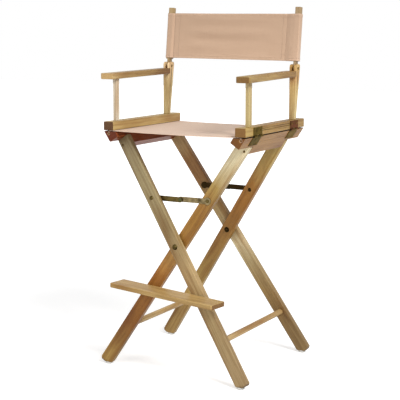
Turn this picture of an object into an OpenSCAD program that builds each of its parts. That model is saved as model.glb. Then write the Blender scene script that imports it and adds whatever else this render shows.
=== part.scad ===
// Tall folding chair of the director's kind.
// Two leg frames cross on a pair of bolts and carry a sling seat between them.
// Each side has an arm hinged to its leg frame, and a stick for the back sling
// that folds down over the armrest. Jointed metal stays hold the legs open.
// Sizes are in millimetres, the chair stands on Z = 0 and faces -Y.

/* [Seat] */
// Height of the seat line, where the arms hinge on the leg frames
seat_h = 767; // [450:1:800]
// Width over the outer faces of the two arm rails
rail_span = 506; // [420:1:640]
// Front to back length of the rails
rail_l = 420; // [340:1:500]
// Width of an arm rail
rail_w = 36; // [28:1:45]
// Height of an arm rail
rail_h = 28; // [20:1:36]
// Thickness of the seat and back cloth
cloth = 1.3; // [0.8:0.1:2.5]

/* [Legs] */
// Height of the bolts the legs cross on
cross_z = 412; // [220:1:480]
// Distance of the outer legs from the middle, at those bolts
pivot_y = 186; // [140:1:220]
// Angle each leg leans outwards, towards the front or the back
splay = 4.8; // [0:0.1:7]
// Width of a leg
leg_w = 42; // [30:1:50]
// Thickness of a leg
leg_t = 21; // [16:1:28]
// Space between crossing legs, which the stays run in
leg_gap = 6; // [5:0.5:9]
// Radius of the round stretchers
stretcher_r = 9.5; // [7:0.5:12]
// Distance of the stretchers below the crossing, along the leg
stretcher_s = 328; // [220:1:400]

/* [Arms] */
// Height of the top of the armrests, at their front
arm_z = 948; // [620:1:990]
// Rise of the armrests from front to back
arm_rise = 4.6; // [0:0.1:6]
// Thickness of an armrest
arm_t = 19; // [14:1:26]
// Width of an armrest at its front
arm_w = 47; // [36:1:60]
// Width of a front post
front_post_w = 15; // [13:1:24]
// Width of a rear post
post = 20; // [18:1:30]

/* [Back] */
// Height of the top of the back sticks
stick_top = 1156; // [800:1:1250]
// Lean of the back sticks
stick_lean = 6.9; // [0:0.1:12]
// Height of the back cloth
back_h = 153; // [120:1:200]

/* [Footrest] */
// Length of the footrest board
foot_l = 405; // [300:1:460]
// Depth of the footrest board
foot_d = 70; // [50:1:90]
// Thickness of the footrest board
foot_t = 14.5; // [12:0.5:22]
// Distance of the footrest bolt below the crossing, along the leg
foot_s = 175; // [120:1:220]

/* [Hidden] */
$fn = 36;

// the outer edge of a leg meets the outer lower edge of its arm rail
half = rail_span / 2;
rise = seat_h - cross_z;
lean = acos(leg_w / 2 / norm([half, rise])) - atan2(rise, half);

// play around pins, screws and dowels
play = 0.05;

// gap between seat rail and arm rail, closed by the seat cloth
gap = 2.4;
seat_rail_w = 35.4;
seat_rail_h = 41;
web_h = 27;
rail_top = seat_h - gap / 2;

// feet
glide_h = 7;
glide_r = 12.5;
foot_flat = 29;
foot_edge = (cross_z - glide_h) * tan(lean) - leg_w / 2 / cos(lean);
foot_x = foot_edge + foot_flat / 2;
foot_rise = foot_flat * sin(lean) * cos(lean) - leg_w / 2 * sin(lean);
leg_down = (cross_z - glide_h + foot_rise) / cos(lean);
leg_up = (rise - gap / 2 + leg_w / 2 * sin(lean)) / cos(lean) - seat_rail_h;
foot_y = pivot_y + (cross_z - glide_h) / cos(lean) * tan(splay);
step = leg_t + leg_gap;

// hardware
bolt_r = 4;
stay_s = 174;
stay_w = 17;
stay_t = 1.2;
stay_gap = 1.6;
stay_l = stay_s * sin(lean) * cos(splay);
stay_off = (leg_gap - stay_gap) / 2 - stay_t;
knuckle_r = 3;
hinge_x = half + knuckle_r + 0.3;
hinge_l = 58;
hinge_y = 130;
leaf = 1.4;
leaf_screw_y = 17;

// canvas dowel in the seat rail
dowel_r = 4;
dowel_x = half - 17;
dowel_z = rail_top - 8;

// arms
post_x = half - rail_w + 10 + post / 2;
front_post_y = -160;
arm_low = seat_h + gap / 2 + rail_h;
arm_front = -208;
front_post_d = front_post_w + 2;
post_front = 147;
post_top = arm_z + 25;
post_ease = 11;
post_round = 8;
post_round_y = post_front + 31;
stick_y = post_front + 23;
stick_z = arm_z + 11.3;
stick_w = 19;
stick_d = 18;
tongue = 9;
back_low = 23.7;
arm_screw_z = arm_z + arm_rise - 9.5;
sunk = 33.8;

// footrest
foot_yaw = 7.5;
foot_tilt = 2;
foot_left = 303;
foot_washer = 3.4;
foot_z = cross_z - foot_s * cos(lean);
peg_r = 6;
peg_x = -foot_s * sin(lean) - 14;

// the footprint is centred on the origin
foot_face_y = -pivot_y - foot_s * tan(splay) - leg_t / 2 / cos(splay) - foot_washer;
front_reach = -foot_face_y + (foot_l - foot_left - 4) * sin(foot_yaw) + foot_d * cos(foot_yaw);
mid_y = (front_reach - foot_y - glide_r) / 2;

wood = [0.80, 0.62, 0.38];
wood_dark = [0.70, 0.50, 0.28];
brass = [0.78, 0.63, 0.33];
steel = [0.62, 0.62, 0.60];
sling = [0.82, 0.69, 0.56];
plastic = [0.80, 0.79, 0.76];

// ---- placing ------------------------------------------------------------

module placed() translate([0, mid_y, 0]) children();

// right = false gives the outer frame, whose legs lean to the left at the top
module side(right) mirror([right ? 1 : 0, 0, 0]) children();

// a leg frame drawn upright, turned about the crossing to its open lean
module leg_frame(right = false)
    placed() side(right) translate([0, 0, cross_z]) rotate([0, -lean, 0]) children();

// along one leg: z runs up the leg from the crossing, y is its thickness
// end = -1 for the front leg and 1 for the rear leg
module along_leg(y, end) translate([0, end * y, 0]) rotate([end * splay, 0, 0]) children();

// bar with eased edges, upright, centred on its axis
module bar(w, d, h, ease = 1.5)
    linear_extrude(h) polygon([
        [-w/2 + ease, -d/2], [w/2 - ease, -d/2], [w/2, -d/2 + ease], [w/2, d/2 - ease],
        [w/2 - ease, d/2], [-w/2 + ease, d/2], [-w/2, d/2 - ease], [-w/2, -d/2 + ease]]);

module rod(r, l) rotate([-90, 0, 0]) cylinder(r = r, h = l);

// round-headed screw along +Y, its head's underside at the origin
module screw(r, l, head_r, head_h) {
    rod(r, l);
    rotate([90, 0, 0]) cylinder(r1 = head_r, r2 = head_r * 0.62, h = head_h);
}

// ---- leg frames ---------------------------------------------------------

function leg_y(right) = right ? pivot_y - step : pivot_y;

module leg_blank() difference() {
    translate([0, 0, -leg_down]) bar(leg_w, leg_t, leg_down + leg_up);
    // eased outer corner at the foot
    translate([leg_w / 2, 0, -leg_down]) rotate([0, 45, 0]) cube([9, 40, 9], center = true);
}

module leg_screw_spot(end) translate([-12, end * leg_t / 2, leg_up - 21])
    rotate([0, 0, end > 0 ? 180 : 0]) children();

module leg(right, end) {
    y = leg_y(right);
    difference() {
        leg_frame(right) difference() {
            along_leg(y, end) difference() {
                leg_blank();
                // stay pivot
                translate([0, -30, stay_s]) rod(3 + play, 60);
                // screw into the seat rail, its head sunk
                leg_screw_spot(end) translate([0, -1, 0]) rod(2 + play, 30);
                leg_screw_spot(end) translate([0, -1, 0]) rod(4.2, 4);
            }
            // crossing bolt with flat seats on both faces
            translate([0, end * y - 30, 0]) rod(bolt_r + play, 60);
            for (s = [-1, 1]) translate([0, end * y + s * (leg_t / 2 + 9), 0])
                translate([0, -10, 0]) rod(9.5, 20);
            // blind socket of the stretcher
            translate([0, end > 0 ? stretcher_y(right) - 21.5 : -stretcher_y(right) - 0.5, -stretcher_s])
                rod(stretcher_r + play, 22);
        }
        // flat for the glide, and the hole of its nail
        placed() translate([0, 0, glide_h - 60]) translate([-400, -400, 0]) cube([800, 800, 60]);
        placed() side(right) translate([foot_x, end * (foot_y - (right ? step : 0)), 0])
            cylinder(r = 1.5 + play, h = glide_h + 16);
    }
}

// how far from the middle a stretcher ends, just past the middle of the leg's thickness
function stretcher_y(right) = leg_y(right) + stretcher_s * tan(splay) + 2;

module stretcher(right) leg_frame(right) {
    y = stretcher_y(right);
    translate([0, -y, -stretcher_s]) rod(stretcher_r, 2 * y);
}

module glides(right) placed() side(right) for (e = [-1, 1])
    translate([foot_x, e * (foot_y - (right ? step : 0)), 0]) {
        rotate_extrude() polygon([[0, 0], [9.5, 0], [12.5, 2.6], [12.5, 5.8], [11.3, glide_h], [0, glide_h]]);
        cylinder(r = 1.5, h = glide_h + 15);
    }

module leg_screws(right) leg_frame(right) for (e = [-1, 1])
    along_leg(leg_y(right), e) leg_screw_spot(e) translate([0, 3, 0]) screw(2, 39, 4, 1.6);

// height of the seat rail's level top, at x across an upright leg frame
function top_at(x) = (rise - gap / 2 - x * sin(lean)) / cos(lean);

// inner face of a leg, at height z of an upright leg frame
function leg_in(right, z) = leg_y(right) - z * tan(splay) - leg_t / 2 / cos(splay);

module seat_rail(right) {
    x1 = -leg_w / 2;
    x2 = x1 + seat_rail_w;
    z1 = leg_up;
    difference() {
        leg_frame(right) difference() {
            union() {
                translate([0, rail_l / 2, 0]) rotate([90, 0, 0]) linear_extrude(rail_l)
                    polygon([[x1 + 1.5, z1], [x2 - 1.5, z1], [x2, z1 + 1.5], [x2, top_at(x2)],
                        [x1 + 1, top_at(x1 + 1)], [x1, top_at(x1) - 1.2], [x1, z1 + 1.5]]);
                // deeper middle, which fits between the legs
                translate([x1, 0, 0]) rotate([90, 0, 90]) linear_extrude(seat_rail_w)
                    polygon([[-leg_in(right, z1 - web_h), z1 - web_h],
                        [leg_in(right, z1 - web_h), z1 - web_h],
                        [leg_in(right, z1 + 2), z1 + 2], [-leg_in(right, z1 + 2), z1 + 2]]);
            }
            for (e = [-1, 1]) along_leg(leg_y(right), e) leg_screw_spot(e) rod(2 + play, 43);
        }
        placed() side(right) {
            // keyhole groove for the cloth and its dowel
            translate([-dowel_x, -rail_l / 2 - 1, dowel_z]) rod(6.2, rail_l + 2);
            translate([-dowel_x - 2, -rail_l / 2 - 1, dowel_z]) cube([4, rail_l + 2, 12]);
        }
        leg_frame(right) lower_leaf_screws() rod(1.6 + play, 16);
    }
}

module cloth_dowel(right) placed() side(right)
    translate([-dowel_x, -rail_l / 2 + 3, dowel_z]) rod(dowel_r, rail_l - 6);

// ---- arm hinges ---------------------------------------------------------

module at_hinges() for (e = [-1, 1]) translate([0, e * hinge_y, 0]) children();

// knuckles of one hinge along Y: part 0 is the middle, part 1 the two ends
module knuckles(part) difference() {
    if (part == 0) translate([0, -hinge_l / 6 + 0.2, 0]) rod(knuckle_r, hinge_l / 3 - 0.4);
    else for (e = [-1, 1]) translate([0, e * hinge_l / 3 - hinge_l / 6, 0]) rod(knuckle_r, hinge_l / 3);
    translate([0, -hinge_l, 0]) rod(1.5 + play, 2 * hinge_l);
}

// hinge pin's place in an upright leg frame
pin_x = -hinge_x * cos(lean) + rise * sin(lean);
pin_z = hinge_x * sin(lean) + rise * cos(lean);

module lower_leaf_screws() at_hinges() for (y = [-leaf_screw_y, leaf_screw_y])
    translate([-leg_w / 2 - leaf, y, pin_z - 29]) rotate([0, 0, -90]) children();

module lower_leaves(right) leg_frame(right) {
    at_hinges() {
        translate([pin_x, 0, pin_z]) knuckles(0);
        difference() {
            union() {
                translate([-leg_w / 2 - leaf, -hinge_l / 2, pin_z - 36]) cube([leaf, hinge_l, 31]);
                translate([-leg_w / 2 - leaf, -hinge_l / 6 + 0.2, pin_z - 8])
                    cube([leaf, hinge_l / 3 - 0.4, 6.2]);
            }
            for (y = [-leaf_screw_y, leaf_screw_y])
                translate([-leg_w / 2 - leaf - 1, y, pin_z - 29]) rotate([0, 0, -90]) rod(1.6 + play, 16);
        }
    }
}

module lower_screws(right) leg_frame(right) lower_leaf_screws() screw(1.6, 15, 3.4, 0.9);

module hinge_pins(right) placed() side(right) at_hinges()
    translate([-hinge_x, -hinge_l / 2 - 1.2, seat_h]) {
        rod(1.5, hinge_l + 2.4);
        rod(2.2, 1);
        translate([0, hinge_l + 1.4, 0]) rod(2.2, 1);
    }

module upper_leaf_screws() at_hinges() for (y = [-leaf_screw_y, leaf_screw_y])
    translate([-half - leaf, y, seat_h + 18]) rotate([0, 0, -90]) children();

module upper_leaves(right) placed() side(right) at_hinges() {
    translate([-hinge_x, 0, seat_h]) knuckles(1);
    difference() {
        union() {
            translate([-half - leaf, -hinge_l / 2, seat_h + 5]) cube([leaf, hinge_l, 23]);
            for (e = [-1, 1]) translate([-half - leaf, e * hinge_l / 3 - hinge_l / 6, seat_h + 1.8])
                cube([leaf, hinge_l / 3, 4]);
        }
        for (y = [-leaf_screw_y, leaf_screw_y])
            translate([-half - leaf - 1, y, seat_h + 18]) rotate([0, 0, -90]) rod(1.6 + play, 16);
    }
}

// ---- bolts and stays ----------------------------------------------------

module crossing_bolts() placed() for (e = [0, 1]) mirror([0, e, 0]) {
    translate([0, -pivot_y - leg_t / 2 + 1, cross_z]) {
        screw(bolt_r, step + leg_t - 1, 9, 3.2);
        // washer and domed nut behind the inner leg
        translate([0, step + leg_t - 2, 0]) rod(9, 1.2);
        translate([0, step + leg_t - 0.8, 0]) rotate([-90, 0, 0]) cylinder(r = 6.5, h = 4, $fn = 6);
        translate([0, step + leg_t + 3.2, 0]) rotate([-90, 0, 0]) cylinder(r1 = 5.4, r2 = 3, h = 3);
    }
}

module crossing_spacers() placed() for (e = [0, 1]) mirror([0, e, 0])
    translate([0, -pivot_y + leg_t / 2 - 0.9, cross_z]) difference() {
        rod(9, leg_gap + 1.8);
        translate([0, -1, 0]) rod(bolt_r + play, leg_gap + 4);
    }

// the stays of the outer legs run next to them, inside the gap
module outer_stay_place(end) leg_frame(false)
    along_leg(pivot_y, end) translate([0, -end * leg_t / 2, stay_s]) rotate([0, lean, 0])
        mirror([0, end > 0 ? 1 : 0, 0]) children();

module inner_stay_place(end) leg_frame(true)
    along_leg(pivot_y - step, end) translate([0, end * leg_t / 2, stay_s]) rotate([0, lean, 0])
        mirror([0, end > 0 ? 0 : 1, 0]) children();

// strap along +X from its leg pivot to the middle joint, y measured off the leg
module strap() difference() {
    translate([0, stay_off, 0]) union() {
        translate([0, 0, -stay_w / 2]) cube([stay_l, stay_t, stay_w]);
        rod(stay_w / 2 + 3, stay_t);
        translate([stay_l, 0, 0]) rod(stay_w / 2, stay_t);
    }
    translate([0, -1, 0]) rod(3 + play, 9);
    translate([stay_l, -1, 0]) rod(3 + play, 9);
}

// one half of the rivet in the middle joint
module half_rivet() translate([stay_l, 0, 0]) {
    translate([0, stay_off, 0]) rod(3, stay_t);
    translate([0, stay_off - 0.7, 0]) rod(5.5, 0.7);
}

// bolt through the leg: collar under the strap, flat head over it
module stay_bolt(far_head) {
    rod(3, leg_gap / 2);
    rod(6, stay_off - 0.02);
    translate([0, stay_off + stay_t + 0.02, 0]) rod(5.5, far_head);
    mirror([0, 1, 0]) {
        rod(3, leg_t + 1);
        translate([0, leg_t, 0]) rotate([-90, 0, 0]) cylinder(r1 = 6.5, r2 = 4.5, h = 2.4);
    }
}

// ---- arms ---------------------------------------------------------------

module arm_side(right) placed() side(right) children();

module post_dowel_holes(z, y, r) translate([-post_x, y, z]) cylinder(r = r + play, h = 13);

module arm_rail(right) difference() {
    arm_side(right) translate([-half + rail_w / 2, -rail_l / 2, seat_h + gap / 2 + rail_h / 2])
        rotate([-90, 0, 0]) bar(rail_w, rail_h, rail_l);
    arm_side(right) {
        post_dowel_holes(arm_low - 12.5, front_post_y, 4);
        post_dowel_holes(arm_low - 12.5, post_front + 6.5, 3.5);
        upper_leaf_screws() rod(1.6 + play, 16);
    }
}

// side profile of an armrest, rising towards the back
module arm_profile() translate([-half - 60, 0, 0]) rotate([90, 0, 90]) linear_extrude(120)
    polygon([[arm_front, arm_z - arm_t], [post_front, arm_z - arm_t + arm_rise],
        [post_front, arm_z + arm_rise], [arm_front, arm_z]]);

module front_post(right) arm_side(right) {
    difference() {
        translate([-post_x, front_post_y, arm_low]) bar(front_post_w, front_post_d, arm_z - arm_t + 3 - arm_low);
        arm_profile();
    }
    translate([-post_x, front_post_y, arm_low - 12]) cylinder(r = 4, h = 13);
    translate([-post_x, front_post_y, arm_z - arm_t - 1]) cylinder(r = 4, h = 13);
}

module rear_post(right) {
    // the rear face runs from the foot of the post up to its rounded head
    head_z = post_top - post_round;
    run = norm([post_round_y - post_front - 13, head_z - arm_low]);
    slope = atan2(post_round_y - post_front - 13, head_z - arm_low) + asin(post_round / run);
    edge = sqrt(run * run - post_round * post_round);
    arm_side(right) difference() {
        union() {
            translate([-post_x - post / 2, 0, 0]) rotate([90, 0, 90]) linear_extrude(post)
                polygon([[post_front, arm_low], [post_front + 13, arm_low],
                    [post_front + 13 + edge * sin(slope), arm_low + edge * cos(slope)],
                    [post_round_y, head_z], [post_round_y, post_top], [post_front + post_ease, post_top],
                    [post_front + post_ease, post_top - post_ease], [post_front, post_top - post_ease]]);
            translate([-post_x - post / 2, post_round_y, head_z]) rotate([0, 90, 0])
                cylinder(r = post_round, h = post);
            translate([-post_x - post / 2, post_front + post_ease, post_top - post_ease]) rotate([0, 90, 0])
                cylinder(r = post_ease, h = post);
            translate([-post_x, post_front + 6.5, arm_low - 12]) cylinder(r = 3.5, h = 13);
        }
        // slot for the tongue of the back stick, whose heel stands on its floor
        translate([-post_x, stick_y, stick_z]) rotate([-stick_lean, 0, 0])
            translate([-tongue / 2 - 0.3, -40, -stick_d / 2 - 0.3]) cube([tongue + 0.6, 80, 60]);
        translate([-post_x - 30, stick_y, stick_z]) rotate([0, 90, 0]) cylinder(r = 3 + play, h = 60);
        translate([-post_x, post_front + 60, arm_screw_z]) rotate([180, 0, 0]) rod(2 + play, 100);
        translate([-post_x, post_front + sunk, arm_screw_z]) rod(4.3, 20);
    }
}

module armrest(right) arm_side(right) difference() {
    x1 = post_x - 19;
    intersection() {
        translate([0, 0, arm_z - arm_t - 5]) linear_extrude(arm_t + 20) polygon([
            [-x1, arm_front + 2], [-x1 - 2, arm_front], [-x1 - arm_w + 4, arm_front],
            [-x1 - arm_w, arm_front + 4], [-x1 - arm_w + 11.5, post_front], [-x1, post_front]]);
        arm_profile();
    }
    post_dowel_holes(arm_z - arm_t - 1, front_post_y, 4);
    translate([-post_x, post_front + 60, arm_screw_z]) rotate([180, 0, 0]) rod(2 + play, 95);
}

module arm_screws(right) arm_side(right) {
    upper_leaf_screws() screw(1.6, 15, 3.4, 0.9);
    // screw through the rear post into the end of the armrest
    translate([-post_x, post_front + sunk, arm_screw_z]) rotate([0, 0, 180]) screw(2, 66, 4, 1.4);
}

module back_bolt(right) arm_side(right) translate([-post_x - post / 2, stick_y, stick_z]) {
    rotate([0, 90, 0]) cylinder(r = 3, h = post + 1);
    rotate([0, -90, 0]) cylinder(r1 = 5, r2 = 3.6, h = 1.2);
    translate([post, 0, 0]) rotate([0, 90, 0]) cylinder(r1 = 5, r2 = 3.6, h = 1.2);
}

module on_stick(right) arm_side(right) translate([-post_x, stick_y, stick_z])
    rotate([-stick_lean, 0, 0]) children();

stick_l = (stick_top - stick_z - stick_d / 2 * sin(stick_lean)) / cos(stick_lean);

module back_stick(right) on_stick(right) difference() {
    union() {
        translate([0, 0, 23.6]) bar(stick_w, stick_d, stick_l - 23.6);
        translate([-tongue / 2, -stick_d / 2, 0]) cube([tongue, stick_d, 24]);
        translate([-tongue / 2, 0, 0]) rotate([0, 90, 0]) cylinder(r = stick_d / 2, h = tongue);
        // square heel that rests on the floor of the slot
        translate([-tongue / 2, 0, -stick_d / 2]) cube([tongue, stick_d / 2, stick_d / 2 + 2]);
    }
    translate([-20, 0, 0]) rotate([0, 90, 0]) cylinder(r = 3 + play, h = 40);
}

// ---- footrest -----------------------------------------------------------

// on the front face of the outer front leg, turned a little towards the inner one
module on_foot() placed()
    translate([foot_s * sin(lean), foot_face_y, foot_z]) rotate([0, 0, -foot_yaw])
        rotate([0, foot_tilt, 0]) children();

module footrest_board() on_foot() difference() {
    translate([-foot_left, -foot_d, -foot_t / 2]) linear_extrude(foot_t) polygon([
        [3, 0], [foot_l - 3, 0], [foot_l, 3], [foot_l, foot_d - 4], [foot_l - 4, foot_d],
        [4, foot_d], [0, foot_d - 4], [0, 3]]);
    translate([0, -34, 0]) rod(3 + play, 40);
}

module footrest_bolt() on_foot() {
    translate([0, -34, 0]) rod(3, 34 + foot_washer + leg_t + 3.6);
    translate([0, foot_washer + leg_t + 1.6, 0]) rod(8, 1.2);
    translate([0, foot_washer + leg_t + 2.8, 0]) rotate([-90, 0, 0]) cylinder(r = 5.8, h = 3.5, $fn = 6);
}

module footrest_washer() on_foot() translate([0, 0.1, 0]) difference() {
    rod(7, foot_washer - 1.1);
    translate([0, -1, 0]) rod(3 + play, foot_washer + 2);
}

peg_top = foot_z - foot_t / 2 / cos(foot_tilt) + (foot_s * sin(lean) - peg_x) * tan(foot_tilt) - 0.5;

module footrest_peg() placed() translate([peg_x, foot_face_y - 10, peg_top - peg_r]) rod(peg_r, 56);

// ---- cloth --------------------------------------------------------------

module seat_cloth() placed() {
    l = rail_l - 6;
    neck = dowel_x + cloth;
    translate([-neck, -l / 2, seat_h - cloth / 2]) cube([2 * neck, l, cloth]);
    for (s = [0, 1]) side(s == 1) difference() {
        union() {
            translate([-dowel_x, -l / 2, dowel_z]) rod(dowel_r + 0.1 + cloth, l);
            translate([-neck, -l / 2, dowel_z]) cube([2 * cloth, l, seat_h - dowel_z]);
        }
        translate([-dowel_x, -l / 2 - 1, dowel_z]) rod(dowel_r + 0.1, l + 2);
    }
}

module back_cloth() placed() translate([0, stick_y, stick_z]) rotate([-stick_lean, 0, 0])
    translate([0, 0, back_low]) linear_extrude(back_h) difference() {
        x1 = post_x + stick_w / 2 + 0.15 + cloth;
        x2 = post_x - stick_w / 2 - 0.15 - cloth;
        y1 = stick_d / 2 + 0.15 + cloth;
        seam = 24;
        polygon([[-x1, -y1], [-x2, -y1], [-x2 + seam, -cloth / 2], [x2 - seam, -cloth / 2], [x2, -y1], [x1, -y1],
            [x1, y1], [x2, y1], [x2 - seam, cloth / 2], [-x2 + seam, cloth / 2], [-x2, y1], [-x1, y1]]);
        // pockets for the sticks, closing towards the seams
        for (s = [-1, 1]) polygon([[s * (x1 - cloth), -y1 + cloth], [s * (x2 + cloth / 2), -y1 + cloth],
            [s * (x2 - seam + cloth * 3.2), 0], [s * (x2 + cloth / 2), y1 - cloth], [s * (x1 - cloth), y1 - cloth]]);
    }

// ---- sub-parts ----------------------------------------------------------

module outer_front_leg() color(wood) difference() { leg(false, -1); footrest_bore(); }
module outer_rear_leg() color(wood) leg(false, 1);
module left_seat_rail() color(wood_dark) seat_rail(false);
module outer_stretcher() color(wood) stretcher(false);
module outer_glides() color(plastic) glides(false);
module outer_leg_screws() color(brass) leg_screws(false);
module left_seat_hinge_leaves() color(brass) lower_leaves(false);
module left_hinge_pins() color(brass) hinge_pins(false);
module left_seat_hinge_screws() color(brass) lower_screws(false);
module left_cloth_dowel() color(wood) cloth_dowel(false);
module outer_stay_bolts() color(brass) for (e = [-1, 1]) outer_stay_place(e) stay_bolt(0.7);

module inner_front_leg() color(wood) difference() { leg(true, -1); peg_bore(); }
module inner_rear_leg() color(wood) leg(true, 1);
module right_seat_rail() color(wood_dark) seat_rail(true);
module inner_stretcher() color(wood) stretcher(true);
module inner_glides() color(plastic) glides(true);
module inner_leg_screws() color(brass) leg_screws(true);
module right_seat_hinge_leaves() color(brass) lower_leaves(true);
module right_hinge_pins() color(brass) hinge_pins(true);
module right_seat_hinge_screws() color(brass) lower_screws(true);
module right_cloth_dowel() color(wood) cloth_dowel(true);
module inner_stay_bolts() color(brass) for (e = [-1, 1]) inner_stay_place(e) stay_bolt(1.2);

module outer_front_stay() color(brass) outer_stay_place(-1) strap();
module outer_front_stay_rivet() color(brass) outer_stay_place(-1) half_rivet();
module outer_rear_stay() color(brass) outer_stay_place(1) strap();
module outer_rear_stay_rivet() color(brass) outer_stay_place(1) half_rivet();
module inner_front_stay() color(brass) inner_stay_place(-1) strap();
module inner_front_stay_rivet() color(brass) inner_stay_place(-1) half_rivet();
module inner_rear_stay() color(brass) inner_stay_place(1) strap();
module inner_rear_stay_rivet() color(brass) inner_stay_place(1) half_rivet();

module left_arm_rail() color(wood_dark) arm_rail(false);
module left_front_post() color(wood) front_post(false);
module left_rear_post() color(wood) rear_post(false);
module left_armrest() color(wood) armrest(false);
module left_arm_hinge_leaves() color(brass) upper_leaves(false);
module left_arm_screws() color(brass) arm_screws(false);
module left_back_bolt() color(steel) back_bolt(false);
module right_arm_rail() color(wood_dark) arm_rail(true);
module right_front_post() color(wood) front_post(true);
module right_rear_post() color(wood) rear_post(true);
module right_armrest() color(wood) armrest(true);
module right_arm_hinge_leaves() color(brass) upper_leaves(true);
module right_arm_screws() color(brass) arm_screws(true);
module right_back_bolt() color(steel) back_bolt(true);
module left_back_stick() color(wood) back_stick(false);
module right_back_stick() color(wood) back_stick(true);

module footrest_bore() on_foot() {
    translate([0, 0, 0]) rod(3 + play, 60);
    // flat seats for the washers
    translate([0, -2, 0]) rod(7.5, foot_washer + 1);
    translate([0, foot_washer + leg_t + 1.5, 0]) rod(8.5, 12);
}
module peg_bore() placed() translate([peg_x, foot_face_y - 10, peg_top - peg_r]) rod(peg_r + play, 56.5);

// ---- picking ------------------------------------------------------------

outer_front_leg();
outer_rear_leg();
left_seat_rail();
outer_stretcher();
outer_glides();
outer_leg_screws();
color(brass) crossing_bolts();
color(steel) crossing_spacers();
left_seat_hinge_leaves();
left_hinge_pins();
left_seat_hinge_screws();
left_cloth_dowel();
outer_stay_bolts();
inner_front_leg();
inner_rear_leg();
right_seat_rail();
inner_stretcher();
inner_glides();
inner_leg_screws();
right_seat_hinge_leaves();
right_hinge_pins();
right_seat_hinge_screws();
right_cloth_dowel();
inner_stay_bolts();
color(wood) footrest_peg();
outer_front_stay();
outer_front_stay_rivet();
outer_rear_stay();
outer_rear_stay_rivet();
inner_front_stay();
inner_front_stay_rivet();
inner_rear_stay();
inner_rear_stay_rivet();
left_arm_rail();
left_front_post();
left_rear_post();
left_armrest();
left_arm_hinge_leaves();
left_arm_screws();
left_back_bolt();
right_arm_rail();
right_front_post();
right_rear_post();
right_armrest();
right_arm_hinge_leaves();
right_arm_screws();
right_back_bolt();
left_back_stick();
right_back_stick();
color(wood) footrest_board();
color(steel) footrest_washer();
color(steel) footrest_bolt();
color(sling) seat_cloth();
color(sling) back_cloth();
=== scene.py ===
import math

import bpy
import numpy as np
from mathutils import Euler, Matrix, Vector


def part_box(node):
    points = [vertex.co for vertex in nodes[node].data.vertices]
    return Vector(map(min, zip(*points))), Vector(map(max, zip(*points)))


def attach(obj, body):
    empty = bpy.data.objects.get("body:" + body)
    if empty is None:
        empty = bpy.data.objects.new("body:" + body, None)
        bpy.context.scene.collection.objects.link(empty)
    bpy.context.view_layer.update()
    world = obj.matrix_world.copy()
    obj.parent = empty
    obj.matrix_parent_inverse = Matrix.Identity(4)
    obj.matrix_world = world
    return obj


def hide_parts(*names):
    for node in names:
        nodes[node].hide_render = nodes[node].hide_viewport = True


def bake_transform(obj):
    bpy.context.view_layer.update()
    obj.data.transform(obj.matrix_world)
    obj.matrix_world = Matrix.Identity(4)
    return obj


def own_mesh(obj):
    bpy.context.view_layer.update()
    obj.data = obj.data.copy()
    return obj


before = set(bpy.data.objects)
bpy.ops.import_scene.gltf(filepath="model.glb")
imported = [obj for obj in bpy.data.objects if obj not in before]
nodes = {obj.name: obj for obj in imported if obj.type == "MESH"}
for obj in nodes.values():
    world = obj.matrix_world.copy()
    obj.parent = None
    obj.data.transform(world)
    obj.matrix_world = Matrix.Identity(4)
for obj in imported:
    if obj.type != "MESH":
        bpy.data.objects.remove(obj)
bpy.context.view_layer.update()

scene = bpy.context.scene


# ---- Studio floor and world ---------------------------------------------
# A plain pale floor, wide enough to fill every view, with the chair's own soft
# shadow on it. It is matt paper, and it isn't part of the chair.

class Wire:
    """A value on its way through a finish. Sums on it become Math nodes."""

    def __init__(self, finish, socket):
        self.finish = finish
        self.socket = socket

    def work(self, operation, a, b=0.0):
        return self.finish.add("ShaderNodeMath", {"operation": operation}, {0: a, 1: b})

    def __add__(self, other):
        return self.work("ADD", self, other)

    def __radd__(self, other):
        return self.work("ADD", other, self)

    def __sub__(self, other):
        return self.work("SUBTRACT", self, other)

    def __rsub__(self, other):
        return self.work("SUBTRACT", other, self)

    def __mul__(self, other):
        return self.work("MULTIPLY", self, other)

    def __truediv__(self, other):
        return self.work("DIVIDE", self, other)

    def __pow__(self, other):
        return self.work("POWER", self, other)

    def __abs__(self):
        return self.work("ABSOLUTE", self)

    def part(self):
        """What is left of it after its whole number."""
        return self.work("FRACT", self)

    def kept(self):
        """It, held between 0 and 1."""
        return self.finish.add("ShaderNodeClamp", {}, {"Value": self})

    def step(self, low, high):
        """0 below low, 1 above high, and smooth between them."""
        return self.finish.add(
            "ShaderNodeMapRange", {"interpolation_type": "SMOOTHSTEP"},
            {"Value": self, "From Min": low, "From Max": high})


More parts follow.
